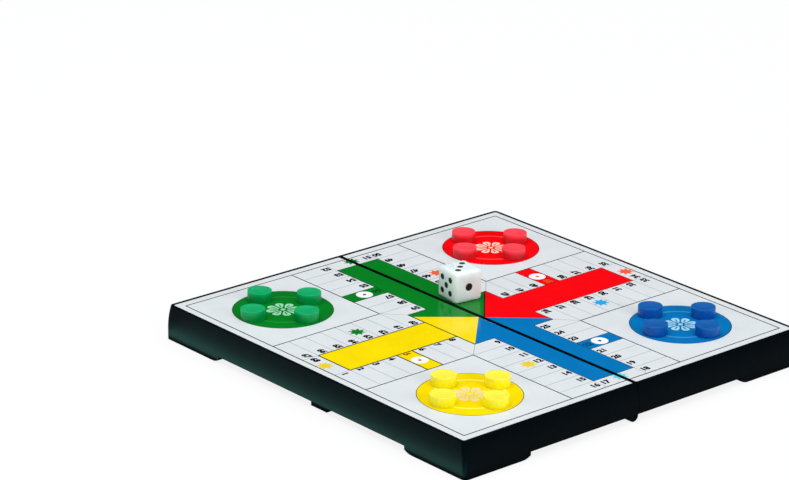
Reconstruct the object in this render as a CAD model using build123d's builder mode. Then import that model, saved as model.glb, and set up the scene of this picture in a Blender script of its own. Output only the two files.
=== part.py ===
"""Folding ludo board: two moulded half cases joined by double-pivot links,
with magnetic tokens and a die standing on the playing surface.

The board lies open on its feet. X runs across the seam, Y along it and Z up, in millimetres.
The origin is on the standing surface, under the middle of the seam.
"""

from build123d import *
import os
from math import cos, radians, sin

# ---------------------------------------------------------------- half cases
board_length = 160.8        # across the seam, between the outer edges of the open board's top
board_width = 161.2         # along the seam, likewise
case_height = 13.65         # standing surface to the top of the lip
belt_height = 4.5           # the outer walls stand upright up to here, and curve in above it
side_swell = 0.4            # how far a side wall stands out past its top edge, lower down
end_swell = 1.5             # the same on the walls at the ends of the seam
corner_radius = 1.6         # vertical corners
top_edge_radius = 0.2
foot_edge_chamfer = 0.2
wall = 2.8                  # outer walls, measured at the foot
seam_wall = 2.6
seam_gap = 0.2              # between the two halves when open
deck = 1.6                  # plastic under the sheets
lip = 1.0                   # plastic edge round a sheet, on the outer sides
seam_lip = 0.6              # the same along the seam
lip_rise = 0.2              # how far the lip stands above the printed sheet
inner_corner_radius = 1.5

foot_gap_height = 2.5       # wall edge between the feet, above the standing surface
foot_length = 29.5          # from the board's outer edge to the end of a foot
foot_curl = 4.5             # last stretch of a foot, which curves up from the standing surface
foot_curl_rise = 1.2
foot_nose_radius = 0.4

rib_thickness = 1.0
rib_height = 1.2
rib_rows = 5                # ribs across each half
rib_columns = 2             # ribs along each half

# ---------------------------------------------------------------- sheets
steel_thickness = 0.5
print_thickness = 0.35
sheet_clearance = 0.1       # all round, in the pocket
sheet_corner_radius = 0.8

# ---------------------------------------------------------------- hinge
pin_radius = 0.75
pin_below_edge = 0.3        # pin axis to the seam plane is this much less than the gap's height
closing_gap = 0.05          # foot to foot, when the board is folded shut
knuckle_seam_gap = 0.1      # knuckle to the seam plane
knuckle_length = 5.2
knuckle_inset = 0.2         # knuckle end behind the foot of the end wall
knuckle_root = 1.2          # how far a knuckle reaches up into its wall
link_floor_gap = 0.175      # link to the standing surface
link_thickness = 4.0
link_side_gap = 0.2
link_notch_gap = 0.3
link_bore_clearance = 0.05
knuckle_bore_clearance = 0.02
pin_end_inset = 0.4

# ---------------------------------------------------------------- closing magnets
catch_width = 8.6
catch_setback = 1.2         # tab face behind the foot of the wall
catch_centre_y = -4.3
catch_lift = 0.2            # tab end above the standing surface
catch_magnet_radius = 3.0
catch_magnet_height = 2.0
magnet_clearance = 0.05
catch_magnet_recess = 0.1

# ---------------------------------------------------------------- tokens
token_radius = 4.5
token_height = 3.8
token_top_chamfer = 0.5
token_magnet_radius = 2.5
token_magnet_height = 1.5
token_magnet_recess = 0.1
home_from_side = 29.4       # centre of a home circle from the board's outer edge at the side
home_from_end = 29.6        # and from the outer edge at the end of the seam

# Where each token stands round the centre of its home: turn in degrees from +X, and distance.
token_places = {
    "green": ((92, 13.1), (2, 12.6), (178, 13.6), (272, 13.0)),
    "red": ((102, 12.9), (-4, 11.8), (182, 13.8), (270, 12.8)),
    "yellow": ((95, 12.4), (0, 12.8), (181, 12.8), (272, 12.8)),
    "blue": ((99, 13.6), (3, 12.3), (181, 13.0), (273, 12.8)),
}
home_sides = {"green": (-1, 1), "red": (1, 1), "yellow": (-1, -1), "blue": (1, -1)}

# ---------------------------------------------------------------- die
die_side = 12.0
die_edge_radius = 1.4
die_x = 7.1
die_y = 19.6
die_turn = -8.0
pip_radius = 1.1
ace_radius = 1.5
pip_depth = 0.4             # at the point of the drill that sinks the pips
pip_spread = 2.6            # outer pips from the middle of a face

# ---------------------------------------------------------------- worked out
half_length = board_length / 2
half_width = board_width / 2
side_x = half_length + side_swell           # outer face of a side wall, up to the belt
end_y = half_width + end_swell              # outer face of an end wall, up to the belt
pocket_depth = lip_rise + print_thickness + steel_thickness
pocket_floor = case_height - pocket_depth
deck_underside = pocket_floor - deck
playing_level = case_height - lip_rise
inner_side_x = side_x - wall                # tray side of a side wall
inner_seam_x = seam_gap / 2 + seam_wall     # tray side of the seam wall
inner_end_y = end_y - wall
pocket_side_x = half_length - lip
pocket_seam_x = seam_gap / 2 + seam_lip
pocket_end_y = half_width - lip

pin_offset = foot_gap_height - pin_below_edge
pin_height = pin_offset - closing_gap / 2
knuckle_radius = pin_offset - knuckle_seam_gap
link_radius = pin_height - link_floor_gap
knuckle_end_y = end_y - knuckle_inset
link_outer_y = knuckle_end_y - knuckle_length - link_side_gap
link_inner_y = link_outer_y - link_thickness
inner_knuckle_y = link_inner_y - link_side_gap
inner_pin_end_y = inner_knuckle_y - knuckle_length + pin_end_inset
inner_pin_length = link_outer_y - inner_pin_end_y
notch_top = pin_height + link_radius + link_notch_gap

catch_face_x = side_x - catch_setback
catch_radius = catch_width / 2
catch_x = catch_face_x - catch_radius
home_x = half_length - home_from_side
home_y = half_width - home_from_end

os.makedirs("parts", exist_ok=True)


def save(part, name):
    """Label a finished piece and write its STEP file."""
    part.label = name
    export_step(part, f"parts/{name}.step")


def tray_span(outer_x, seam_x):
    """Middle and length in X of something that lies between the side wall and the seam."""
    return -(outer_x + seam_x) / 2, outer_x - seam_x


def wall_form(plane, half_top, swell):
    """Section across the whole case, its two walls upright up to the belt and curving in above."""
    half_foot = half_top + swell
    with BuildSketch(plane) as form:
        with BuildLine():
            Line((-half_foot, 0), (half_foot, 0))
            Line((-half_top, case_height), (half_top, case_height))
            for side in (-1, 1):
                belt = (side * half_foot, belt_height)
                Line((side * half_foot, 0), belt)
                TangentArc(belt, (side * half_top, case_height), tangent=(0, 1))
        make_face()
    return form.sketch


def wall_gap(plane, half_top):
    """Opening under a wall, between the feet at its two ends, which curl up towards it."""
    half_gap = half_top - foot_length
    half_flat = half_gap + foot_curl
    with BuildSketch(plane) as gap:
        with BuildLine():
            Line((-half_flat, -case_height), (half_flat, -case_height))
            Line((-half_gap, foot_gap_height), (half_gap, foot_gap_height))
            for side in (-1, 1):
                foot = (side * half_flat, 0)
                nose = (side * half_gap, foot_curl_rise)
                Line((side * half_flat, -case_height), foot)
                TangentArc(foot, nose, tangent=(-side, 0))
                Line(nose, (side * half_gap, foot_gap_height))
        make_face()
        for side in (-1, 1):
            nose = gap.vertices().sort_by_distance((side * half_gap, foot_curl_rise))[0]
            fillet(nose, foot_nose_radius)
    return gap.sketch


def knuckle(side, outer_y):
    """Hinge barrel with its root, at the front end of one half."""
    root_height = foot_gap_height + knuckle_root - pin_height
    with BuildPart() as barrel:
        with BuildSketch(Plane.XZ.offset(outer_y)):
            with Locations((side * pin_offset, pin_height)):
                Circle(knuckle_radius)
                Rectangle(2 * knuckle_radius, root_height, align=(Align.CENTER, Align.MIN))
        extrude(amount=-knuckle_length)
    return barrel.part


def pin_bore(side, outer_y, inner_y):
    """Bore for the pin at the front end of one half."""
    with BuildPart() as bore:
        with BuildSketch(Plane.XZ.offset(outer_y)):
            with Locations((side * pin_offset, pin_height)):
                Circle(pin_radius + knuckle_bore_clearance)
        extrude(amount=inner_y - outer_y)
    return bore.part


def link_notch(side):
    """Room for the front hinge link in the seam wall of one half."""
    reach = pin_offset + link_radius + link_notch_gap
    with BuildPart() as notch:
        with Locations((side * reach / 2, -(link_outer_y + link_inner_y) / 2, 0)):
            Box(reach, link_thickness + 2 * link_side_gap, 2 * notch_top)
    return notch.part


def at_both_ends(part):
    """A front-end feature together with its copy at the back end."""
    return [part, part.mirror(Plane.XZ)]


# ---------------------------------------------------------------- half case, -X side
tray_x, tray_length = tray_span(inner_side_x, inner_seam_x)
pocket_x, pocket_length = tray_span(pocket_side_x, pocket_seam_x)

with BuildPart() as half_shell:
    # Block of the whole board, where the form of its side walls meets that of its end walls,
    # cut at the seam
    extrude(wall_form(Plane.XZ, half_length, side_swell), amount=end_y, both=True)
    extrude(wall_form(Plane.YZ, half_width, end_swell), amount=side_x, both=True,
            mode=Mode.INTERSECT)
    edges = half_shell.edges()
    fillet(edges - edges.filter_by(Axis.X) - edges.filter_by(Axis.Y), corner_radius)
    fillet(half_shell.edges().group_by(Axis.Z)[-1], top_edge_radius)
    chamfer(half_shell.edges().group_by(Axis.Z)[0], foot_edge_chamfer)
    split(bisect_by=Plane.YZ.offset(-seam_gap / 2), keep=Keep.BOTTOM)

    # Storage tray, open downwards
    with BuildSketch():
        with Locations((tray_x, 0)):
            RectangleRounded(tray_length, 2 * inner_end_y, inner_corner_radius)
    extrude(amount=deck_underside, mode=Mode.SUBTRACT)

    # Stiffening ribs under the deck
    with BuildSketch(Plane.XY.offset(deck_underside - rib_height)):
        with Locations((tray_x, 0)):
            with GridLocations(0, 2 * inner_end_y / (rib_rows + 1), 1, rib_rows):
                Rectangle(tray_length + wall, rib_thickness)
            with GridLocations(tray_length / (rib_columns + 1), 0, rib_columns, 1):
                Rectangle(rib_thickness, 2 * inner_end_y + wall)
    extrude(amount=rib_height)

    # Pocket for the steel and the printed sheet
    with BuildSketch(Plane.XY.offset(pocket_floor)):
        with Locations((pocket_x, 0)):
            RectangleRounded(pocket_length, 2 * pocket_end_y, sheet_corner_radius)
    extrude(amount=pocket_depth, mode=Mode.SUBTRACT)

    # The walls stop short of the standing surface between the feet
    extrude(wall_gap(Plane.XZ, half_length), amount=2 * end_y, both=True, mode=Mode.SUBTRACT)
    extrude(wall_gap(Plane.YZ, half_width), amount=2 * side_x, both=True, mode=Mode.SUBTRACT)

    # Post for the closing magnet, its flat face set back behind the side wall
    with BuildSketch(Plane.XY.offset(catch_lift)):
        with Locations((-catch_x, catch_centre_y)):
            Circle(catch_radius)
            Rectangle(catch_radius, catch_width, align=(Align.MAX, Align.CENTER))
    extrude(amount=deck_underside - catch_lift)
    with BuildSketch(Plane.XY.offset(catch_lift)):
        with Locations((-catch_x, catch_centre_y)):
            Circle(catch_magnet_radius + magnet_clearance)
    extrude(amount=catch_magnet_recess + catch_magnet_height, mode=Mode.SUBTRACT)

# ---------------------------------------------------------------- the two cases
with BuildPart() as left_case:
    add(half_shell.part)
    add(at_both_ends(link_notch(-1)), mode=Mode.SUBTRACT)
    add(at_both_ends(knuckle(-1, knuckle_end_y)))
    # The outer pins go in from outside, through the end walls
    outer_bore = pin_bore(-1, end_y, knuckle_end_y - knuckle_length)
    add(at_both_ends(outer_bore), mode=Mode.SUBTRACT)
save(left_case.part, "left_case")

with BuildPart() as right_case:
    add(half_shell.part.mirror(Plane.YZ))
    add(at_both_ends(link_notch(1)), mode=Mode.SUBTRACT)
    add(at_both_ends(knuckle(1, inner_knuckle_y)))
    # The inner pins go in from the middle, along a groove under the seam wall
    groove_end_y = inner_knuckle_y - knuckle_length - inner_pin_length
    inner_bore = pin_bore(1, inner_knuckle_y, groove_end_y)
    add(at_both_ends(inner_bore), mode=Mode.SUBTRACT)
save(right_case.part, "right_case")


# ---------------------------------------------------------------- sheets
def sheet(side, bottom, thickness):
    """Flat sheet in the pocket of one half."""
    with BuildPart() as flat:
        with BuildSketch(Plane.XY.offset(bottom)):
            with Locations((-side * pocket_x, 0)):
                RectangleRounded(
                    pocket_length - 2 * sheet_clearance, 2 * (pocket_end_y - sheet_clearance),
                    sheet_corner_radius,
                )
        extrude(amount=thickness)
    return flat.part


# ---------------------------------------------------------------- hinge links and pins
with BuildPart() as front_link:
    with BuildSketch(Plane.XZ.offset(link_outer_y)):
        with Locations((0, pin_height)):
            SlotCenterToCenter(2 * pin_offset, 2 * link_radius)
            with GridLocations(2 * pin_offset, 0, 2, 1):
                Circle(pin_radius + link_bore_clearance, mode=Mode.SUBTRACT)
    extrude(amount=-link_thickness)


def hinge_pin(side, outer_y, inner_y):
    """Steel pin at the front end of one half, from the outer to the inner distance in Y."""
    with BuildPart() as pin:
        with BuildSketch(Plane.XZ.offset(outer_y)):
            with Locations((side * pin_offset, pin_height)):
                Circle(pin_radius)
        extrude(amount=inner_y - outer_y)
    return pin.part


# ---------------------------------------------------------------- closing magnet
with BuildPart() as catch_magnet:
    with BuildSketch(Plane.XY.offset(catch_lift + catch_magnet_recess)):
        with Locations((-catch_x, catch_centre_y)):
            Circle(catch_magnet_radius)
    extrude(amount=catch_magnet_height)

front_pins = {
    "left": hinge_pin(-1, knuckle_end_y - pin_end_inset, link_inner_y),
    "right": hinge_pin(1, link_outer_y, inner_pin_end_y),
}
for name, side in (("left", -1), ("right", 1)):
    save(sheet(side, pocket_floor, steel_thickness), f"{name}_steel_sheet")
    save(sheet(side, pocket_floor + steel_thickness, print_thickness), f"{name}_print_sheet")
    save(front_pins[name], f"hinge_pin_{name}_front")
    save(front_pins[name].mirror(Plane.XZ), f"hinge_pin_{name}_back")
save(front_link.part, "hinge_link_front")
save(front_link.part.mirror(Plane.XZ), "hinge_link_back")
save(catch_magnet.part, "catch_magnet_left")
save(catch_magnet.part.mirror(Plane.YZ), "catch_magnet_right")

# ---------------------------------------------------------------- token and its magnet
with BuildPart() as token:
    with BuildSketch(Plane.XZ) as token_profile:
        Rectangle(token_radius, token_height, align=(Align.MIN, Align.MIN))
        rim = token_profile.vertices().group_by(Axis.X)[-1].sort_by(Axis.Y)[-1]
        chamfer(rim, token_top_chamfer)
        Rectangle(
            token_magnet_radius + magnet_clearance, token_magnet_recess + token_magnet_height,
            align=(Align.MIN, Align.MIN), mode=Mode.SUBTRACT,
        )
    revolve(axis=Axis.Z)

with BuildPart() as token_magnet:
    with BuildSketch(Plane.XY.offset(token_magnet_recess)):
        Circle(token_magnet_radius)
    extrude(amount=token_magnet_height)

for colour, places in token_places.items():
    way_x, way_y = home_sides[colour]
    for number, (turn, distance) in enumerate(places, 1):
        spot = Location((
            way_x * home_x + distance * cos(radians(turn)),
            way_y * home_y + distance * sin(radians(turn)),
            playing_level,
        ))
        save(spot * token.part, f"token_{colour}_{number}")
        save(spot * token_magnet.part, f"token_magnet_{colour}_{number}")


# ---------------------------------------------------------------- die
def pip_spots(count):
    """Places of the pips on one face."""
    diagonal = [(-pip_spread, -pip_spread), (pip_spread, pip_spread)]
    other_diagonal = [(-pip_spread, pip_spread), (pip_spread, -pip_spread)]
    middles = [(-pip_spread, 0), (pip_spread, 0)]
    spots = [(0, 0)] if count % 2 else []
    if count > 1:
        spots += diagonal
    if count > 3:
        spots += other_diagonal
    if count > 5:
        spots += middles
    return spots


# Each face of the die: the way it looks, the way its pips' first direction runs, and its count
die_faces = (
    ((0, 0, 1), (1, 0, 0), 3),
    ((0, 0, -1), (1, 0, 0), 4),
    ((-1, 0, 0), (0, -1, 0), 5),
    ((1, 0, 0), (0, 1, 0), 2),
    ((0, -1, 0), (1, 0, 0), 1),
    ((0, 1, 0), (1, 0, 0), 6),
)
with BuildPart() as die:
    Box(die_side, die_side, die_side)
    fillet(die.edges(), die_edge_radius)
    for way, across, count in die_faces:
        mouth = ace_radius if count == 1 else pip_radius
        face_plane = Plane(Vector(way) * die_side / 2, x_dir=across, z_dir=way)
        with Locations(face_plane.offset(-pip_depth / 2)):
            with Locations(*pip_spots(count)):
                Cone(0, mouth, pip_depth, mode=Mode.SUBTRACT)
die_place = Location((die_x, die_y, playing_level + die_side / 2), (0, 0, die_turn))
save(die_place * die.part, "die")
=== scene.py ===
"""Looks of a folding magnetic ludo board: its moulded case, printed playing sheets, tokens and die.

Lengths are written in millimetres and turned into Blender's metres by MM. The board lies flat with
its middle over the origin. X runs across the seam, Y runs along it, and Z is up.
"""

import math

import bpy
from mathutils import Matrix, Vector


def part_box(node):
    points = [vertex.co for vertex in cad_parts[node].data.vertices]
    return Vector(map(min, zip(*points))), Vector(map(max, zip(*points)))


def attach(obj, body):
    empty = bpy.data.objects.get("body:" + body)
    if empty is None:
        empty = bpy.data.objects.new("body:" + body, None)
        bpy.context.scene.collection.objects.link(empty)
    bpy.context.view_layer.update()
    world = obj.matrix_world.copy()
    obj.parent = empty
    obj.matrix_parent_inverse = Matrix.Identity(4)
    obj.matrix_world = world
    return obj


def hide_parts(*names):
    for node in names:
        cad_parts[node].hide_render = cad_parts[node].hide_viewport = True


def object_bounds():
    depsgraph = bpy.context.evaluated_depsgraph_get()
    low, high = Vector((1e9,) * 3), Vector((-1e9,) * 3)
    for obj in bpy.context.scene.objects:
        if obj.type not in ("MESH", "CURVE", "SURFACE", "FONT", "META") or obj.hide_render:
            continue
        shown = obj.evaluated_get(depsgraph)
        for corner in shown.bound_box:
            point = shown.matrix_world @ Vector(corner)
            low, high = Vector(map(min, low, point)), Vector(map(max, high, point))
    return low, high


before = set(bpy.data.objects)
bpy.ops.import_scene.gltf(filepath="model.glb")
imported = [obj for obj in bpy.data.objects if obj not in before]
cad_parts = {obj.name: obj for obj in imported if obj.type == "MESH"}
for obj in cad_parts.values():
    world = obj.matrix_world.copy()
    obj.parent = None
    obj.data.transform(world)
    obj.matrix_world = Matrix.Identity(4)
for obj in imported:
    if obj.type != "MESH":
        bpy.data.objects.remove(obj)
cad_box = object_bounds()

MM = 0.001
NEAR = 1e-6                    # metres within which two places are the same
LEFT_HALF, RIGHT_HALF = "left_half", "right_half"
COLOURS = ("green", "red", "yellow", "blue")

# ---------------------------------------------------------------- print layout
# Ink lies in layers of slightly different height, all of them sunk a little in the sheet
SHEET_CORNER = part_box("left_print_sheet")[1]
SHEET_TOP = round(SHEET_CORNER.z / MM, 3)
INK_BASE = SHEET_TOP - 0.05
FIELD_TOP = SHEET_TOP + 0.016
FAINT_LINE_TOP = SHEET_TOP + 0.020
DARK_LINE_TOP = SHEET_TOP + 0.024
DISC_TOP = SHEET_TOP + 0.030
MARK_TOP = SHEET_TOP + 0.036
FIGURE_TOP = SHEET_TOP + 0.040

# The ruled border, and where the printed sheets end at the seam, from the middle of the board
BORDER = 76.2
SEAM_EDGE = round(-SHEET_CORNER.x / MM, 3)
# Squares along a side of an arm, and the one from its end that holds the white disc
SQUARES = 8
EXIT_SQUARE = 5
# Widths of lines
DARK_LINE = 0.46
GOAL_OUTLINE = 0.5
FAINT_LINE = 0.24

# Inner sides of the homes, and sides of the goal, towards -X, +X, -Y and +Y
HOME_WEST, HOME_EAST, HOME_SOUTH, HOME_NORTH = -26.5, 25.6, -25.4, 25.5
GOAL_WEST, GOAL_EAST, GOAL_SOUTH, GOAL_NORTH = -19.3, 18.7, -18.3, 18.2

# Each arm as seen from the middle of the board: its turn from X in degrees, its ink, where its
# lane starts and ends, the right and left sides of the lane, of the arm and of the goal, the width
# of its outline, and the ink of the star on its right
ARMS = (
    {"turn": 270, "ink": "blue", "goal": -GOAL_SOUTH, "end": 69.5, "lane": (-10.1, 9.3),
     "sides": (HOME_WEST, HOME_EAST), "wings": (GOAL_WEST, GOAL_EAST),
     "outline": 0.3, "star": "mustard"},
    {"turn": 0, "ink": "red", "goal": GOAL_EAST, "end": 68.8, "lane": (-8.5, 8.7),
     "sides": (HOME_SOUTH, HOME_NORTH), "wings": (GOAL_SOUTH, GOAL_NORTH),
     "outline": 0.3, "star": "sky"},
    {"turn": 90, "ink": "green", "goal": GOAL_NORTH, "end": 69.1, "lane": (-9.6, 10.3),
     "sides": (-HOME_EAST, -HOME_WEST), "wings": (-GOAL_EAST, -GOAL_WEST),
     "outline": 0.3, "star": "coral"},
    {"turn": 180, "ink": "yellow", "goal": -GOAL_WEST, "end": 69.1, "lane": (-8.8, 8.6),
     "sides": (-HOME_NORTH, -HOME_SOUTH), "wings": (-GOAL_NORTH, -GOAL_SOUTH),
     "outline": 0.56, "star": "green"},
)
# For each arm, the line on the left of its share of the goal, from beside the seam outwards
GOAL_LINES = (
    ((0.7, -1.1), (18.7, -16.9)),
    ((0.7, -1.1), (18.2, 18.2)),
    ((-0.7, 0.5), (-19.3, 15.7)),
    ((-0.7, 0.5), (-19.2, -18.3)),
)

EXIT_DISC_RADIUS = 3.15
EXIT_DOT_RADIUS = 0.7
EXIT_DISC_STEPS, EXIT_DOT_STEPS = 32, 16
STAR_RADIUS = 3.4
STAR_POINTS = 8
STAR_WAIST = 0.55             # inner corners, as a share of the radius
STAR_AT = 17.2                # from the middle line of an arm
# Ink of the star at each arm's end, and its distance in from the border
END_STARS = {
    "blue": ("aqua", 4.2), "red": ("coral", 3.0), "green": ("green", 3.0), "yellow": ("mustard", 2.8)}

FIGURE_SIZE = 3.55
FIGURE_WEIGHT = 0.2           # how much bolder than its font
FIGURE_GAP = 0.45             # from the side of a lane
FIGURE_PITCH = 1.95           # width of one digit
FIGURE_CURVE_STEPS = 2
END_FIGURE_IN = 2.5           # last number of a lane, from the lane's right side
NUMBERS_IN_ARM = 17
LAST_NUMBER = 4 * NUMBERS_IN_ARM

HOME_CENTRE = 51.0            # from both middle lines of the board
HOME_RADIUS = 18.45
HOME_RING_RADIUS = 12.65
HOME_RING_WIDTH = 0.9
HOME_STEPS, HOME_RING_STEPS = 96, 72
HOME_SIDES = {"green": (-1, 1), "red": (1, 1), "yellow": (-1, -1), "blue": (1, -1)}

# The rosette in a home
ROSETTE_RADIUS = 6.3
ROSETTE_DOT_RADIUS = 0.9
ROSETTE_DOT_STEPS = 16
PETALS = 8
PETAL_STEPS = 24
# Shares of the rosette's radius: middle and half width of a petal, start and end of its vein
PETAL_CENTRE = 0.62
PETAL_HALF_WIDTH = 0.34
VEIN_FROM, VEIN_TO = 0.42, 0.8
VEIN_WIDTH = 0.5
PETAL_TAPER = 0.4             # how much of its width a petal loses halfway in

# ---------------------------------------------------------------- die
DIE_LOW, DIE_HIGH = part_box("die")
DIE_SIDE = round((DIE_HIGH.z - DIE_LOW.z) / MM, 3)
DIE_AT = tuple(round(value / 2 / MM, 3) for value in (DIE_LOW + DIE_HIGH)[:2])
DIE_TURN = -8.0
DIE_EDGE, DIE_EDGE_STEPS = 1.5, 6
DIE_SMOOTH_UP_TO = 30
PIP_SPREAD = 2.6
PIP_RADIUS = 1.15
ACE_RADIUS = 1.5
PIP_DEPTH = 0.42
CUTTER_SEGMENTS, CUTTER_RINGS = 48, 32
# Each face of the die: the way it looks, the way its pips' first direction runs, and its count
DIE_FACES = (
    ((0, 0, 1), (1, 0, 0), 3),
    ((0, 0, -1), (1, 0, 0), 4),
    ((-1, 0, 0), (0, -1, 0), 5),
    ((1, 0, 0), (0, 1, 0), 2),
    ((0, -1, 0), (1, 0, 0), 1),
    ((0, 1, 0), (1, 0, 0), 6),
)


# ---------------------------------------------------------------- shader maths
class Wire:
    """A shader socket. Arithmetic on it adds Math nodes, and node() adds any other node."""

    def __init__(self, tree, socket=None):
        self.tree, self.socket = tree, socket

    def node(self, kind, settings, inputs, output=0):
        made = self.tree.nodes.new(kind)
        for name, value in settings.items():
            setattr(made, name, value)
        for name, value in inputs.items():
            if isinstance(value, Wire):
                self.tree.links.new(value.socket, made.inputs[name])
            else:
                made.inputs[name].default_value = value
        return Wire(self.tree, made.outputs[output] if made.outputs else None)

    def maths(self, operation, *values):
        return self.node("ShaderNodeMath", {"operation": operation}, dict(enumerate(values)))

    def __add__(self, other):
        return self.maths("ADD", self, other)

    def __radd__(self, other):
        return self.maths("ADD", other, self)

    def __sub__(self, other):
        return self.maths("SUBTRACT", self, other)

    def __rsub__(self, other):
        return self.maths("SUBTRACT", other, self)

    def __mul__(self, other):
        return self.maths("MULTIPLY", self, other)

    def __rmul__(self, other):
        return self.maths("MULTIPLY", other, self)


def ink(red, green, blue):
    """Linear colour of an 8-bit one."""
    def linear(value):
        value /= 255
        return value / 12.92 if value <= 0.04045 else ((value + 0.055) / 1.055) ** 2.4
    return (linear(red), linear(green), linear(blue), 1.0)


def new_finish(name, **constants):
    """An empty material: its principled shader with constants set, and a wire to start from."""
    material = bpy.data.materials.new(name)
    material.use_nodes = True
    tree = material.node_tree
    shader = tree.nodes["Principled BSDF"]
    for socket, value in constants.items():
        shader.inputs[socket.replace("_", " ")].default_value = value
    return material, shader, Wire(tree)


def feed(start, shader, socket, wire):
    """Links a wire to one of the shader's sockets."""
    start.tree.links.new(wire.socket, shader.inputs[socket])


def blended(start, factor, first, second):
    """Colour between two others."""
    return start.node(
        "ShaderNodeMix", {"data_type": "RGBA"}, {0: factor, 6: first, 7: second}, 2)


def noise(start, size, detail=3.0, roughness=0.55):
    """Cloudy grain, whose lumps are about that many millimetres across."""
    place = start.node("ShaderNodeTexCoord", {}, {}, 3)
    return start.node("ShaderNodeTexNoise", {}, {
        "Vector": place, "Scale": 1 / (size * MM), "Detail": detail, "Roughness": roughness})


def height_of(start):
    """Height above the floor in millimetres."""
    place = start.node("ShaderNodeTexCoord", {}, {}, 3)
    return start.node("ShaderNodeSeparateXYZ", {}, {0: place}, 2) * (1 / MM)


def band(start, value, low, high):
    """0 below low, 1 above high, smooth between."""
    return start.node("ShaderNodeMapRange", {"interpolation_type": "SMOOTHSTEP"}, {
        "Value": value, "From Min": low, "From Max": high})


def bump(start, shader, height, distance, strength):
    """Raises the surface by that many millimetres where height is 1, as strongly as strength says."""
    feed(start, shader, "Normal", start.node("ShaderNodeBump", {}, {
        "Height": height, "Distance": distance * MM, "Strength": strength}))


# ---------------------------------------------------------------- finishes
# How far down from its lip and up from its feet the case is rubbed
CASE_TOP = round(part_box("left_case")[1].z / MM, 3)
RUBBED_LIP, RUBBED_FOOT = 0.1, 0.35
# Heights over the sheet between which a token's colour turns from a painted shaded side to a painted
# lit top
PAINTED_LIT_TOP_FROM, PAINTED_LIT_TOP_TO = 1.8, 3.75


def case_plastic():
    """Near-black satin moulded plastic, rubbed a little on its lips and feet."""
    material, shader, start = new_finish("case_plastic", Specular_IOR_Level=0.02)
    grain = noise(start, 0.35, 2.0)
    cloud = noise(start, 18.0, 4.0)
    height = height_of(start)
    lip = band(start, height, CASE_TOP - RUBBED_LIP, CASE_TOP)
    foot = 1 - band(start, height, 0.0, RUBBED_FOOT)
    rubbed = (lip * 0.1 + foot * 0.4) * band(start, cloud, 0.42, 0.7)
    colour = blended(start, cloud, ink(0, 4, 7), ink(2, 8, 12))
    feed(start, shader, "Base Color", blended(start, rubbed, colour, ink(34, 42, 46)))
    feed(start, shader, "Roughness", 0.34 + grain * 0.1 + rubbed * 0.15)
    bump(start, shader, grain, 0.012, 0.5)
    return material


def steel_finish():
    """Bright rolled steel sheet with fine lines along Y."""
    material, shader, start = new_finish("steel", Metallic=1.0)
    place = start.node("ShaderNodeTexCoord", {}, {}, 3)
    stretched = start.node("ShaderNodeMapping", {}, {"Vector": place, "Scale": (40.0, 1.0, 40.0)})
    lines = start.node("ShaderNodeTexNoise", {}, {
        "Vector": stretched, "Scale": 120.0, "Detail": 3.0})
    feed(start, shader, "Base Color", blended(start, lines, ink(150, 153, 156), ink(205, 207, 210)))
    feed(start, shader, "Roughness", 0.25 + lines * 0.2)
    return material


def pin_finish():
    """Blackened steel, a little worn."""
    material, shader, start = new_finish("blackened_steel", Metallic=0.8)
    grain = noise(start, 0.3, 3.0)
    feed(start, shader, "Base Color", blended(start, grain, ink(6, 8, 10), ink(20, 22, 24)))
    feed(start, shader, "Roughness", 0.4 + grain * 0.2)
    return material


def magnet_finish():
    """Nickel-plated magnet, finely scuffed."""
    material, shader, start = new_finish("magnet", Metallic=1.0)
    scuffs = noise(start, 0.12, 4.0)
    feed(start, shader, "Base Color", blended(start, scuffs, ink(196, 195, 192), ink(224, 223, 220)))
    feed(start, shader, "Roughness", 0.22 + scuffs * 0.2)
    bump(start, shader, scuffs, 0.005, 0.5)
    return material


def print_finish(name, colour, shift=0.06):
    """Printed film: its colour a little uneven, under a glossy laminate with a faint orange peel."""
    material, shader, start = new_finish(name, Specular_IOR_Level=0.11)
    fleck = noise(start, 0.5, 3.0, 0.7)
    cloud = noise(start, 9.0, 3.0)
    uneven = band(start, fleck * 0.6 + cloud * 0.4, 0.35, 0.65)
    darker = tuple(value * (1 - shift) for value in colour[:3]) + (1.0,)
    lighter = tuple(min(value * (1 + shift), 1.0) for value in colour[:3]) + (1.0,)
    feed(start, shader, "Base Color", blended(start, uneven, darker, lighter))
    feed(start, shader, "Roughness", 0.12 + cloud * 0.08)
    bump(start, shader, cloud, 0.006, 0.35)
    return material


def token_finish(name, top, side):
    """Glossy moulded plastic that lets some light in, with painted light: a lighter lit colour on its
    upper face and a darker shaded colour on its side.
    """
    material, shader, start = new_finish(
        name, IOR=1.48, Specular_IOR_Level=0.3,
        Subsurface_Weight=0.5, Subsurface_Radius=(1, 1, 1), Subsurface_Scale=2 * MM)
    cloud = noise(start, 3.0, 3.0)
    grain = noise(start, 0.25, 2.0)
    # Painted light and shade: the shaded side colour low on the token, the lit top colour higher up
    up = band(start, height_of(start), SHEET_TOP + PAINTED_LIT_TOP_FROM, SHEET_TOP + PAINTED_LIT_TOP_TO)
    plain = blended(start, up, side, top)
    milky = tuple(min(value * 1.4, 1.0) for value in top[:3]) + (1.0,)
    feed(start, shader, "Base Color", blended(start, cloud * 0.16, plain, milky))
    feed(start, shader, "Roughness", 0.3 + grain * 0.14)
    bump(start, shader, grain, 0.01, 0.4)
    return material


def die_finish():
    """Ivory-white tumbled plastic."""
    material, shader, start = new_finish(
        "die_plastic", IOR=1.49,
        Subsurface_Weight=0.8, Subsurface_Radius=(1, 1, 1), Subsurface_Scale=5 * MM)
    cloud = noise(start, 4.0, 4.0)
    feed(start, shader, "Base Color", blended(start, cloud, ink(218, 234, 238), ink(234, 244, 246)))
    feed(start, shader, "Roughness", 0.22 + cloud * 0.14)
    bump(start, shader, cloud, 0.02, 0.3)
    return material


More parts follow.
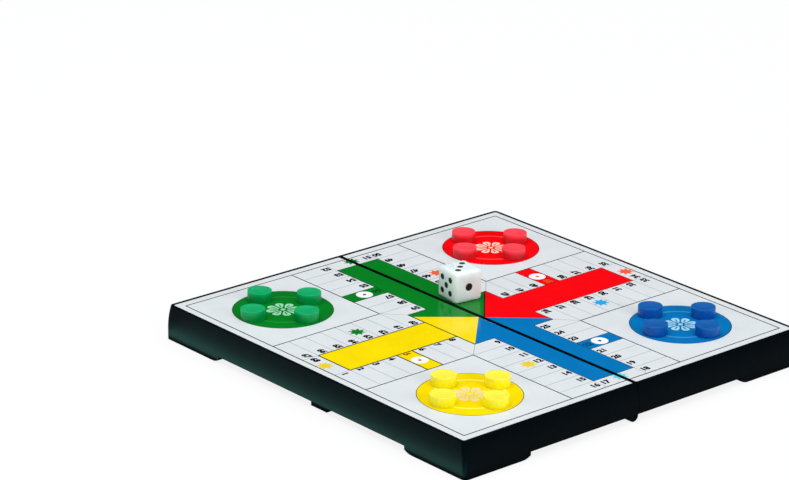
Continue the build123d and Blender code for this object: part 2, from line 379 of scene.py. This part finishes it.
def pip_finish():
    """Black paint in the dimples, duller than the plastic."""
    material, shader, start = new_finish("pip_paint")
    grain = noise(start, 0.2, 3.0)
    feed(start, shader, "Base Color", blended(start, grain, ink(8, 10, 14), ink(24, 26, 32)))
    feed(start, shader, "Roughness", 0.4 + grain * 0.2)
    bump(start, shader, grain, 0.02, 0.5)
    return material


PLASTIC = case_plastic()
PAPER = print_finish("playing_print", ink(214, 220, 224), shift=0.035)
INKS = {
    "green": print_finish("green_ink", ink(4, 122, 33)),
    "red": print_finish("red_ink", ink(242, 4, 16)),
    "coral": print_finish("coral_ink", ink(240, 92, 58)),
    "yellow": print_finish("yellow_ink", ink(240, 213, 3)),
    "blue": print_finish("blue_ink", ink(3, 113, 180)),
    "sky": print_finish("sky_ink", ink(40, 165, 222)),
    "aqua": print_finish("aqua_ink", ink(96, 206, 222)),
    "mustard": print_finish("mustard_ink", ink(228, 200, 52)),
    "white": print_finish("white_ink", ink(240, 242, 244), shift=0.03),
    "dark": print_finish("dark_ink", ink(22, 24, 28), shift=0.2),
    "faint": print_finish("faint_ink", ink(160, 164, 170)),
    "black": print_finish("figure_ink", ink(10, 12, 16), shift=0.2),
}
DEEP_INKS = {
    "green": print_finish("deep_green_ink", ink(2, 78, 34)),
    "red": print_finish("deep_red_ink", ink(206, 84, 30)),
    "yellow": print_finish("deep_yellow_ink", ink(168, 82, 12)),
    "blue": print_finish("deep_blue_ink", ink(4, 72, 112)),
}
PALE_INKS = {
    "green": print_finish("pale_green_ink", ink(150, 216, 178)),
    "red": print_finish("pale_red_ink", ink(246, 212, 190)),
    "yellow": print_finish("pale_yellow_ink", ink(232, 214, 168)),
    "blue": print_finish("pale_blue_ink", ink(164, 214, 234)),
}
RING_INKS = {
    "green": print_finish("green_ring_ink", ink(24, 140, 56)),
    "red": print_finish("red_ring_ink", ink(255, 70, 60)),
    "yellow": print_finish("yellow_ring_ink", ink(255, 238, 90)),
    "blue": print_finish("blue_ring_ink", ink(60, 140, 205)),
}
# Each token plastic: its painted lit top colour, then its painted shaded side colour
TOKEN_FINISHES = {
    "green": token_finish("green_token_plastic", ink(0, 163, 98), ink(0, 142, 60)),
    "red": token_finish("red_token_plastic", ink(252, 66, 80), ink(204, 16, 30)),
    "yellow": token_finish("yellow_token_plastic", ink(248, 232, 66), ink(252, 240, 5)),
    "blue": token_finish("blue_token_plastic", ink(1, 88, 164), ink(6, 80, 168)),
}


# ---------------------------------------------------------------- modelling helpers
def pick_none():
    """Deselects every object."""
    bpy.ops.object.select_all(action="DESELECT")


def pick(*objects):
    """Selects these objects alone, and makes the first active."""
    pick_none()
    for thing in objects:
        thing.select_set(True)
    bpy.context.view_layer.objects.active = objects[0]


def settle(thing, name):
    """Puts a piece's place, turn and size into its mesh."""
    pick(thing)
    bpy.ops.object.transform_apply(location=True, rotation=True, scale=True)
    thing.name = thing.data.name = name
    return thing


def joined(pieces, name):
    """Makes one object of several."""
    pick(*pieces)
    if len(pieces) > 1:
        bpy.ops.object.join()
    whole = bpy.context.view_layer.objects.active
    whole.name = whole.data.name = name
    return whole


def cleaned(thing):
    """Welds loose seams between faces and turns every face outwards."""
    pick(thing)
    bpy.ops.object.mode_set(mode="EDIT")
    bpy.ops.mesh.select_all(action="SELECT")
    bpy.ops.mesh.remove_doubles(threshold=NEAR)
    bpy.ops.mesh.normals_make_consistent(inside=False)
    bpy.ops.object.mode_set(mode="OBJECT")
    return thing


def paint(thing, *finishes):
    """Gives an object these materials in place of its own."""
    thing.data.materials.clear()
    for finish in finishes:
        thing.data.materials.append(finish)


def cut(thing, point, normal):
    """Cuts off what lies on the normal's side of a plane, and closes the cut."""
    pick(thing)
    bpy.ops.object.mode_set(mode="EDIT")
    bpy.ops.mesh.select_all(action="SELECT")
    bpy.ops.mesh.bisect(
        plane_co=[value * MM for value in point], plane_no=normal, use_fill=True, clear_outer=True)
    bpy.ops.object.mode_set(mode="OBJECT")
    return thing


def turned(turn, u, v):
    """Board place of a point u outwards along an arm and v to its left."""
    c, s = math.cos(math.radians(turn)), math.sin(math.radians(turn))
    return u * c - v * s, u * s + v * c


def slab(turn, low, high, top):
    """Thin layer of ink between two corners of an arm."""
    x, y = turned(turn, (low[0] + high[0]) / 2, (low[1] + high[1]) / 2)
    pick_none()
    bpy.ops.mesh.primitive_cube_add(
        size=1,
        location=(x * MM, y * MM, (INK_BASE + top) / 2 * MM),
        rotation=(0, 0, math.radians(turn)),
        scale=((high[0] - low[0]) * MM, (high[1] - low[1]) * MM, (top - INK_BASE) * MM),
    )
    return settle(bpy.context.object, "layer")


def line(start, end, width, top):
    """Ruled line between two points of the board."""
    x, y = (start[0] + end[0]) / 2, (start[1] + end[1]) / 2
    run = math.dist(start, end)
    turn = math.degrees(math.atan2(end[1] - start[1], end[0] - start[0]))
    u = x * math.cos(math.radians(turn)) + y * math.sin(math.radians(turn))
    v = -x * math.sin(math.radians(turn)) + y * math.cos(math.radians(turn))
    return slab(turn, (u - run / 2, v - width / 2), (u + run / 2, v + width / 2), top)


def disc(x, y, radius, top, steps):
    """Round layer of ink."""
    pick_none()
    bpy.ops.mesh.primitive_cylinder_add(
        vertices=steps, radius=radius * MM, depth=(top - INK_BASE) * MM,
        location=(x * MM, y * MM, (INK_BASE + top) / 2 * MM))
    return settle(bpy.context.object, "layer")


def ring(x, y, radius, width, top, steps):
    """Round line of ink: a short piece of section spun about the ring's centre."""
    pick_none()
    bpy.ops.mesh.primitive_plane_add(
        size=1,
        location=((x + radius) * MM, y * MM, (INK_BASE + top) / 2 * MM),
        rotation=(math.radians(90), 0, 0),
    )
    section = bpy.context.object
    section.scale = (width * MM, (top - INK_BASE) * MM, 1)
    settle(section, "layer")
    bpy.ops.object.mode_set(mode="EDIT")
    bpy.ops.mesh.select_all(action="SELECT")
    bpy.ops.mesh.spin(
        steps=steps, angle=math.radians(360), center=(x * MM, y * MM, 0), axis=(0, 0, 1))
    bpy.ops.object.mode_set(mode="OBJECT")
    return cleaned(section)


def square_edges(arm):
    """Distances from the middle of the lines that cross an arm, from its border inwards."""
    pitch = (arm["end"] - arm["goal"]) / (SQUARES - 1)
    return [BORDER] + [arm["end"] - pitch * step for step in range(SQUARES)]


# ---------------------------------------------------------------- printed layers
def coloured_fields(index, arm):
    """Lane, share of the goal and exit square of one arm."""
    edges, turn, (right, left) = square_edges(arm), arm["turn"], arm["lane"]
    lane = slab(turn, (arm["goal"], right), (arm["end"], left), FIELD_TOP)
    goal = slab(0, (GOAL_WEST, GOAL_SOUTH), (GOAL_EAST, GOAL_NORTH), FIELD_TOP)
    for side, number in ((1, index), (-1, index - 1)):
        (x, y), (end_x, end_y) = GOAL_LINES[number]
        away = Vector((y - end_y, end_x - x, 0)) * side
        cut(goal, (x, y, 0), away.normalized())
    exit_square = slab(
        turn, (edges[EXIT_SQUARE], left),
        (edges[EXIT_SQUARE - 1], arm["sides"][1] - DARK_LINE / 2), FIELD_TOP)
    return [lane, goal, exit_square]


def square_lines(arm):
    """Faint lines between the squares, and from the end of the lane to the border."""
    edges, turn, (right, left) = square_edges(arm), arm["turn"], arm["lane"]
    half = FAINT_LINE / 2
    made = []
    for step in range(1, SQUARES):
        rows = [(arm["sides"][0] + DARK_LINE / 2, right)]
        if step not in (EXIT_SQUARE - 1, EXIT_SQUARE):
            rows.append((left, arm["sides"][1] - DARK_LINE / 2))
        for low, high in rows:
            made.append(slab(
                turn, (edges[step] - half, low), (edges[step] + half, high), FAINT_LINE_TOP))
    for side in (right, left):
        made.append(slab(
            turn, (arm["end"] + arm["outline"] / 2, side - half),
            (BORDER - DARK_LINE / 2, side + half), FAINT_LINE_TOP))
    return made


def home_lines():
    """Border of the board and outlines of the four homes."""
    made = []
    for side in (-BORDER, BORDER):
        made.append(line((-BORDER, side), (BORDER, side), DARK_LINE, DARK_LINE_TOP))
        made.append(line((side, -BORDER), (side, BORDER), DARK_LINE, DARK_LINE_TOP))
    for x, x_end in ((HOME_WEST, -BORDER), (HOME_EAST, BORDER)):
        for y, y_end in ((HOME_SOUTH, -BORDER), (HOME_NORTH, BORDER)):
            made.append(line((x, y), (x_end, y), DARK_LINE, DARK_LINE_TOP))
            made.append(line((x, y), (x, y_end), DARK_LINE, DARK_LINE_TOP))
    return made


def corner_lines():
    """Faint lines from the corners of the goal to those of the homes."""
    return [
        line((goal_x, goal_y), (home_x, home_y), FAINT_LINE, FAINT_LINE_TOP)
        for goal_x, home_x in ((GOAL_WEST, HOME_WEST), (GOAL_EAST, HOME_EAST))
        for goal_y, home_y in ((GOAL_SOUTH, HOME_SOUTH), (GOAL_NORTH, HOME_NORTH))]


def lane_outline(arm):
    """Dark outline of a lane, of its exit square and of its side of the goal."""
    edges, turn, (right, left) = square_edges(arm), arm["turn"], arm["lane"]
    half = arm["outline"] / 2
    made = [slab(turn, (arm["goal"], side - half), (arm["end"], side + half), DARK_LINE_TOP)
            for side in (right, left)]
    across = [
        (arm["end"], right, left),
        (arm["goal"], arm["wings"][0], right),
        (arm["goal"], left, arm["wings"][1]),
        (edges[EXIT_SQUARE - 1], left, arm["sides"][1]),
        (edges[EXIT_SQUARE], left, arm["sides"][1]),
    ]
    if arm["ink"] == "yellow":
        across.append((arm["goal"], right, left))
    for u, low, high in across:
        made.append(slab(turn, (u - half, low), (u + half, high), FAINT_LINE_TOP))
    return made


def star(x, y, turn):
    """Eight-pointed star: a disc whose every second corner is drawn inwards."""
    made = disc(0, 0, STAR_RADIUS, MARK_TOP, 2 * STAR_POINTS)
    half_step = math.pi / STAR_POINTS
    for vertex in made.data.vertices:
        step = round(math.atan2(vertex.co.y, vertex.co.x) / half_step)
        if step % 2:
            vertex.co.x *= STAR_WAIST
            vertex.co.y *= STAR_WAIST
    made.location = (x * MM, y * MM, 0)
    made.rotation_euler.z = math.radians(turn)
    return settle(made, "layer")


def figure(arm, number, u, v):
    """One printed number, read with its foot towards the border."""
    x, y = turned(arm["turn"], u, v)
    pick_none()
    bpy.ops.object.text_add(
        location=(x * MM, y * MM, (INK_BASE + FIGURE_TOP) / 2 * MM),
        rotation=(0, 0, math.radians(arm["turn"] + 90)))
    text = bpy.context.object
    text.data.body = str(number)
    text.data.align_x, text.data.align_y = "CENTER", "CENTER"
    text.data.size = FIGURE_SIZE * MM
    text.data.extrude = (FIGURE_TOP - INK_BASE) / 2 * MM
    text.data.offset = FIGURE_WEIGHT * MM
    text.data.resolution_u = FIGURE_CURVE_STEPS
    return text


def figures(index, arm):
    """Numbers of one arm, counted on round the board, and the number on its exit square."""
    edges = square_edges(arm)
    made, on_exit = [], []

    def middle(square):
        return (edges[square - 1] + edges[square]) / 2

    def add(number, square, side):
        number = number if number <= LAST_NUMBER else number - LAST_NUMBER
        from_lane = FIGURE_GAP + len(str(number)) * FIGURE_PITCH / 2
        place = arm["lane"][(side + 1) // 2] + side * from_lane
        group = on_exit if square == EXIT_SQUARE and side == 1 else made
        group.append(figure(arm, number, middle(square), place))

    last = NUMBERS_IN_ARM * (index + 1)
    for square in range(1, SQUARES + 1):
        add(last - square, square, -1)
        add(last + square, square, 1)
    made.append(figure(arm, last, middle(1), arm["lane"][0] + END_FIGURE_IN))
    return made, on_exit


def meshed(texts, name):
    """Turns texts into one mesh that holds their places."""
    pick(*texts)
    bpy.ops.object.convert(target="MESH")
    bpy.ops.object.transform_apply(location=True, rotation=True, scale=True)
    return cleaned(joined(list(bpy.context.selected_objects), name))


def exit_marks(arm):
    """White disc on the exit square and the coloured dot on it."""
    edges = square_edges(arm)
    middle = (edges[EXIT_SQUARE - 1] + edges[EXIT_SQUARE]) / 2
    x, y = turned(arm["turn"], middle, (arm["lane"][1] + arm["sides"][1]) / 2)
    white_disc = disc(x, y, EXIT_DISC_RADIUS, DISC_TOP, EXIT_DISC_STEPS)
    return white_disc, disc(x, y, EXIT_DOT_RADIUS, MARK_TOP, EXIT_DOT_STEPS)


def stars(arm):
    """The star on the right of an arm, and the one at its end."""
    edges = square_edges(arm)
    middle = (edges[EXIT_SQUARE - 1] + edges[EXIT_SQUARE]) / 2
    x, y = turned(arm["turn"], middle, -STAR_AT)
    end_x, end_y = turned(arm["turn"], BORDER - END_STARS[arm["ink"]][1], 0)
    return star(x, y, arm["turn"]), star(end_x, end_y, arm["turn"])


def spun_round(thing, x, y, copies):
    """Repeats a shape round the origin, then turns the whole by half a step and moves it to a point."""
    pick(thing)
    bpy.ops.object.mode_set(mode="EDIT")
    bpy.ops.mesh.select_all(action="SELECT")
    bpy.ops.mesh.spin(
        steps=copies, angle=math.radians(360), dupli=True, center=(0, 0, 0), axis=(0, 0, 1))
    bpy.ops.object.mode_set(mode="OBJECT")
    cleaned(thing)
    thing.location = (x * MM, y * MM, 0)
    thing.rotation_euler.z = math.radians(180 / copies)
    return settle(thing, "layer")


def rosette(x, y):
    """Plain eight-petal rosette: a petal drawn from a disc and spun round, and a dot in its middle."""
    petal = disc(0, 0, 1, DISC_TOP, PETAL_STEPS)
    for vertex in petal.data.vertices:
        along = vertex.co.x / MM
        vertex.co.x = ROSETTE_RADIUS * (PETAL_CENTRE + (1 - PETAL_CENTRE) * along) * MM
        vertex.co.y *= ROSETTE_RADIUS * PETAL_HALF_WIDTH * (1 - PETAL_TAPER + PETAL_TAPER * along)
    dot = disc(x, y, ROSETTE_DOT_RADIUS, DISC_TOP, ROSETTE_DOT_STEPS)
    return [spun_round(petal, x, y, PETALS), dot]


def veins(x, y):
    """Lines along the middles of the rosette's petals."""
    start, end = VEIN_FROM * ROSETTE_RADIUS, VEIN_TO * ROSETTE_RADIUS
    vein = slab(0, (start, -VEIN_WIDTH / 2), (end, VEIN_WIDTH / 2), MARK_TOP)
    return spun_round(vein, x, y, PETALS)


def lay_print(pieces, name, finish):
    """Joins layers of one ink, splits them at the seam, and puts them on the two halves."""
    whole = joined(pieces, name)
    paint(whole, finish)
    pick(whole)
    bpy.ops.object.duplicate()
    twin = bpy.context.object
    for part, half, side in ((whole, LEFT_HALF, -1), (twin, RIGHT_HALF, 1)):
        cut(part, (side * SEAM_EDGE, 0, 0), (-side, 0, 0))
        if not part.data.vertices:
            bpy.data.objects.remove(part)
            continue
        part.name = part.data.name = f"{half}_{name}"
        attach(part, half)


def print_board():
    """Draws every layer of ink, colour by colour, and lays it on the printed sheets."""
    fields, star_layers = {}, {}
    white, numbers, deep, rosettes = [], [], {}, {}
    faint = corner_lines()
    outlines = home_lines()
    outlines.append(line(*GOAL_LINES[1], GOAL_OUTLINE, FAINT_LINE_TOP))
    for index, arm in enumerate(ARMS):
        fields.setdefault(arm["ink"], []).extend(coloured_fields(index, arm))
        faint += square_lines(arm)
        outlines += lane_outline(arm)
        white_disc, dot = exit_marks(arm)
        white.append(white_disc)
        side_star, end_star = stars(arm)
        star_layers.setdefault(arm["star"], []).append(side_star)
        star_layers.setdefault(END_STARS[arm["ink"]][0], []).append(end_star)
        arm_numbers, exit_number = figures(index, arm)
        numbers += arm_numbers
        deep[arm["ink"]] = [meshed(exit_number, "exit_number"), dot]
    rings = {}
    for colour, (side_x, side_y) in HOME_SIDES.items():
        x, y = side_x * HOME_CENTRE, side_y * HOME_CENTRE
        fields[colour].append(disc(x, y, HOME_RADIUS, FIELD_TOP, HOME_STEPS))
        outlines.append(ring(x, y, HOME_RADIUS, FAINT_LINE, DARK_LINE_TOP, HOME_STEPS))
        rings[colour] = ring(
            x, y, HOME_RING_RADIUS, HOME_RING_WIDTH, DARK_LINE_TOP, HOME_RING_STEPS)
        rosettes[colour] = rosette(x, y)
        fields[colour].append(veins(x, y))
    for colour in COLOURS:
        lay_print(fields[colour], f"{colour}_fields", INKS[colour])
        lay_print([rings[colour]], f"{colour}_home_ring", RING_INKS[colour])
        lay_print(rosettes[colour], f"{colour}_rosette", PALE_INKS[colour])
        lay_print(deep[colour], f"{colour}_exit_marks", DEEP_INKS[colour])
    for colour, made in star_layers.items():
        lay_print(made, f"{colour}_stars", INKS[colour])
    lay_print(white, "exit_discs", INKS["white"])
    lay_print(faint, "square_lines", INKS["faint"])
    lay_print(outlines, "home_lines", INKS["dark"])
    lay_print([meshed(numbers, "numbers")], "numbers", INKS["black"])


# ---------------------------------------------------------------- tokens
TOKEN_STEPS = 72
TOKEN_POCKET_RADIUS = 2.55
TOKEN_POCKET_TOP = SHEET_TOP + 1.6
TOKEN_RIM = 1.0
TOKEN_DISH = 0.08
TOKEN_EDGE, TOKEN_EDGE_STEPS = 0.42, 4
TOKENS_IN_HOME = 4
# Edges that turn by more degrees than these are rounded, and shaded sharp
BEVELLED_FROM = 30
SMOOTH_UP_TO = 35


def press_in(thing, height, rim, depth):
    """Insets the flat face at one height and pushes its middle along Z."""
    pick(thing)
    for face in thing.data.polygons:
        face.select = abs(face.center.z - height * MM) < NEAR and abs(face.normal.z) > 0.9
    for item in list(thing.data.vertices) + list(thing.data.edges):
        item.select = False
    bpy.ops.object.mode_set(mode="EDIT")
    bpy.ops.mesh.select_mode(type="FACE")
    bpy.ops.mesh.inset(thickness=rim * MM)
    bpy.ops.mesh.extrude_region_move(TRANSFORM_OT_translate={"value": (0, 0, depth * MM)})
    bpy.ops.object.mode_set(mode="OBJECT")


def bevelled(thing, width, segments):
    """Rounds every edge that turns by more than BEVELLED_FROM degrees."""
    modifier = thing.modifiers.new("edges", "BEVEL")
    modifier.width = width * MM
    modifier.segments = segments
    modifier.limit_method = "ANGLE"
    modifier.angle_limit = math.radians(BEVELLED_FROM)
    pick(thing)
    bpy.ops.object.modifier_apply(modifier=modifier.name)


def first_token(low, high):
    """A draught-like token: softly rounded, slightly dished on top, with a pocket for its magnet."""
    centre, size = (low + high) / 2, high - low
    pick_none()
    bpy.ops.mesh.primitive_cylinder_add(
        vertices=TOKEN_STEPS, radius=size.x / 2, depth=size.z, location=centre)
    token = settle(bpy.context.object, "first_token")
    press_in(token, high.z / MM, TOKEN_RIM, -TOKEN_DISH)
    bevelled(token, TOKEN_EDGE, TOKEN_EDGE_STEPS)
    press_in(token, low.z / MM, size.x / 2 / MM - TOKEN_EDGE - TOKEN_POCKET_RADIUS,
             TOKEN_POCKET_TOP - low.z / MM)
    bpy.ops.object.shade_smooth_by_angle(angle=math.radians(SMOOTH_UP_TO))
    return token


def make_tokens():
    """Copies the first token to the place of each."""
    low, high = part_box("token_green_1")
    pattern = first_token(low, high)
    first_place = (low + high) / 2
    for colour in COLOURS:
        for number in range(1, TOKENS_IN_HOME + 1):
            node = f"token_{colour}_{number}"
            node_low, node_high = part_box(node)
            pick(pattern)
            bpy.ops.object.duplicate()
            token = bpy.context.object
            token.location = (node_low + node_high) / 2 - first_place
            settle(token, f"{colour}_token_{number}")
            paint(token, TOKEN_FINISHES[colour])
            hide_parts(node)
            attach(token, node)
    bpy.data.objects.remove(pattern)


# ---------------------------------------------------------------- die
def pip_spots(count):
    """Places of a face's pips from its middle."""
    near, far = -PIP_SPREAD, PIP_SPREAD
    spots = [(0, 0)] if count % 2 else []
    if count > 1:
        spots += [(near, near), (far, far)]
    if count > 3:
        spots += [(near, far), (far, near)]
    if count > 5:
        spots += [(near, 0), (far, 0)]
    return spots


def pip_cutters():
    """Balls that cut each dimple to its depth and width."""
    made = []
    for looks, runs, count in DIE_FACES:
        out, first = Vector(looks), Vector(runs)
        second = out.cross(first)
        mouth = ACE_RADIUS if count == 1 else PIP_RADIUS
        ball = (mouth ** 2 + PIP_DEPTH ** 2) / (2 * PIP_DEPTH)
        for x, y in pip_spots(count):
            centre = out * (DIE_SIDE / 2 - PIP_DEPTH + ball) + first * x + second * y
            pick_none()
            bpy.ops.mesh.primitive_uv_sphere_add(
                segments=CUTTER_SEGMENTS, ring_count=CUTTER_RINGS,
                radius=ball * MM, location=centre * MM)
            made.append(settle(bpy.context.object, "layer"))
    return joined(made, "pip_cutters")


def make_die():
    """A tumbled cube with spherical dimples painted black."""
    pick_none()
    bpy.ops.mesh.primitive_cube_add(size=DIE_SIDE * MM)
    die = settle(bpy.context.object, "white_die")
    bevelled(die, DIE_EDGE, DIE_EDGE_STEPS)
    cutters = pip_cutters()
    finishes = die_finish(), pip_finish()
    paint(die, *finishes)
    paint(cutters, *finishes)
    for face in cutters.data.polygons:
        face.material_index = 1
    modifier = die.modifiers.new("dimples", "BOOLEAN")
    modifier.object, modifier.operation, modifier.solver = cutters, "DIFFERENCE", "EXACT"
    pick(die)
    bpy.ops.object.modifier_apply(modifier=modifier.name)
    bpy.data.objects.remove(cutters)
    die.location = (DIE_AT[0] * MM, DIE_AT[1] * MM, (SHEET_TOP + DIE_SIDE / 2) * MM)
    die.rotation_euler.z = math.radians(DIE_TURN)
    settle(die, "white_die")
    bpy.ops.object.shade_smooth_by_angle(angle=math.radians(DIE_SMOOTH_UP_TO))
    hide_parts("die")
    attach(die, "die")


# ---------------------------------------------------------------- frame finishes
def finish_frame():
    """Gives each piece of the frame its finish by its name. Tokens and die are replaced later."""
    steel, magnet, pin = steel_finish(), magnet_finish(), pin_finish()
    for name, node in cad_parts.items():
        if "case" in name or "link" in name:
            paint(node, PLASTIC)
        elif "print" in name:
            paint(node, PAPER)
        elif "magnet" in name:
            paint(node, magnet)
        elif "pin" in name:
            paint(node, pin)
        elif "steel" in name:
            paint(node, steel)


# ---------------------------------------------------------------- stage, light and camera
FLOOR_SIZE = 6.0
FLOOR_GLOW = 0.85              # share of the floor's look to the eye that is plain white

# Round lamps: name, place and size in metres, watts, and whether glossy surfaces mirror them
LAMPS = (
    ("overhead", (-0.2, 0.1, 1.3), 0.9, 5.0, True),
    ("side", (-1.1, 0.1, 0.35), 0.5, 2.5, False),
    ("front", (0.15, -1.3, 0.38), 0.8, 9.0, False),
)

# Long lamp beside the left wall's foot
STRIP_FROM_BOARD, STRIP_WIDTH, STRIP_LENGTH, STRIP_HEIGHT = 1.0, 5.0, 200.0, 0.8
STRIP_ALONG = -13.0           # its middle along Y
STRIP_WATTS = 0.026
STRIP_COLOUR = (0.3, 1.0, 0.82)

# Studio dome: brightness at the horizon and how much it gains, between two heights of the way up
DOME_LOW, DOME_GAIN = 0.02, 1.45
DOME_FROM, DOME_TO = 0.42, 0.95

# Camera: its turn round the board, its height angle, its distance from the board's middle, how far
# it is moved sideways and up across its view, and its tilt about the line of sight
CAMERA_TURN, CAMERA_RISE = -40.8705, 20.3484
CAMERA_DISTANCE = 1247.3
CAMERA_SIDEWAYS, CAMERA_UP = -31.2, 40.5
CAMERA_TILT = 0.6171
CAMERA_LENS = 156.37
SENSOR_WIDTH = 36.0


def lay_floor():
    """Plain pale floor that shows white to the eye but keeps the board's shadow."""
    pick_none()
    bpy.ops.mesh.primitive_plane_add(size=FLOOR_SIZE, location=(0, 0, 0))
    floor = bpy.context.object
    floor.name = "floor"
    material = bpy.data.materials.new("floor_finish")
    material.use_nodes = True
    start = Wire(material.node_tree)
    material.node_tree.nodes.clear()
    cloud = noise(start, 400.0, 2.0)
    colour = blended(start, cloud, ink(238, 239, 240), ink(246, 247, 248))
    matt = start.node("ShaderNodeBsdfDiffuse", {}, {"Color": colour})
    glow = start.node("ShaderNodeEmission", {}, {"Color": (1, 1, 1, 1), "Strength": 1.0})
    seen = start.node("ShaderNodeLightPath", {}, {}, 0)
    mixed = start.node("ShaderNodeMixShader", {}, {0: seen * FLOOR_GLOW, 1: matt, 2: glow})
    start.node("ShaderNodeOutputMaterial", {}, {"Surface": mixed})
    floor.data.materials.append(material)


def light_world():
    """Even studio dome: dim at the horizon and bright overhead, and white where the camera sees it."""
    world = bpy.data.worlds.new("studio")
    bpy.context.scene.world = world
    world.use_nodes = True
    tree = world.node_tree
    tree.nodes.clear()
    start = Wire(tree)
    way = start.node("ShaderNodeTexCoord", {}, {}, 0)
    rise = start.node("ShaderNodeSeparateXYZ", {}, {0: way}, 2)
    strength = band(start, rise, DOME_FROM, DOME_TO) * DOME_GAIN + DOME_LOW
    dome = start.node("ShaderNodeBackground", {}, {"Color": (1, 1, 1, 1), "Strength": strength})
    white = start.node("ShaderNodeBackground", {}, {"Color": (1, 1, 1, 1), "Strength": 1.0})
    seen = start.node("ShaderNodeLightPath", {}, {}, 0)
    mixed = start.node("ShaderNodeMixShader", {}, {0: seen, 1: dome, 2: white})
    start.node("ShaderNodeOutputWorld", {}, {"Surface": mixed})


def lamp(name, place, size, watts, mirrored):
    """Round soft lamp that faces the board. Only a mirrored one shows in glossy surfaces."""
    place = Vector(place)
    pick_none()
    bpy.ops.object.light_add(
        type="AREA", location=place, rotation=(-place).to_track_quat("-Z", "Y").to_euler())
    made = bpy.context.object
    made.name = name
    made.data.shape = "DISK"
    made.data.size = size
    made.data.energy = watts
    made.visible_glossy = mirrored


def low_strip():
    """Long lamp that lies along the left wall's foot, facing up, and shines in its lower half."""
    x = cad_box[0][0] - (STRIP_FROM_BOARD + STRIP_WIDTH / 2) * MM
    pick_none()
    bpy.ops.object.light_add(
        type="AREA", location=(x, STRIP_ALONG * MM, STRIP_HEIGHT * MM),
        rotation=(math.radians(180), 0, 0))
    made = bpy.context.object
    made.name = "low_strip"
    made.data.shape = "RECTANGLE"
    made.data.size, made.data.size_y = STRIP_WIDTH * MM, STRIP_LENGTH * MM
    made.data.energy = STRIP_WATTS
    made.data.color = STRIP_COLOUR
    made.visible_camera = False


def place_camera():
    """Stands the camera where its angles and distance say, looking past the board's middle."""
    turn, rise, tilt = (math.radians(v) for v in (CAMERA_TURN, CAMERA_RISE, CAMERA_TILT))
    back = Vector((
        math.sin(turn) * math.cos(rise), -math.cos(turn) * math.cos(rise), math.sin(rise)))
    level = Vector((math.cos(turn), math.sin(turn), 0))
    up = back.cross(level)
    right = level * math.cos(tilt) + up * math.sin(tilt)
    up = up * math.cos(tilt) - level * math.sin(tilt)
    place = back * CAMERA_DISTANCE + right * CAMERA_SIDEWAYS + up * CAMERA_UP
    pick_none()
    bpy.ops.object.camera_add(location=place * MM)
    camera = bpy.context.object
    camera.rotation_mode = "QUATERNION"
    camera.rotation_quaternion = Matrix((right, up, back)).transposed().to_quaternion()
    camera.data.lens = CAMERA_LENS
    camera.data.sensor_width = SENSOR_WIDTH
    camera.data.sensor_fit = "HORIZONTAL"
    bpy.context.scene.camera = camera


# ---------------------------------------------------------------- assembly
finish_frame()
print_board()
make_tokens()
make_die()
lay_floor()
light_world()
for lamp_facts in LAMPS:
    lamp(*lamp_facts)
low_strip()
place_camera()
bpy.context.scene.view_settings.view_transform = "Standard"
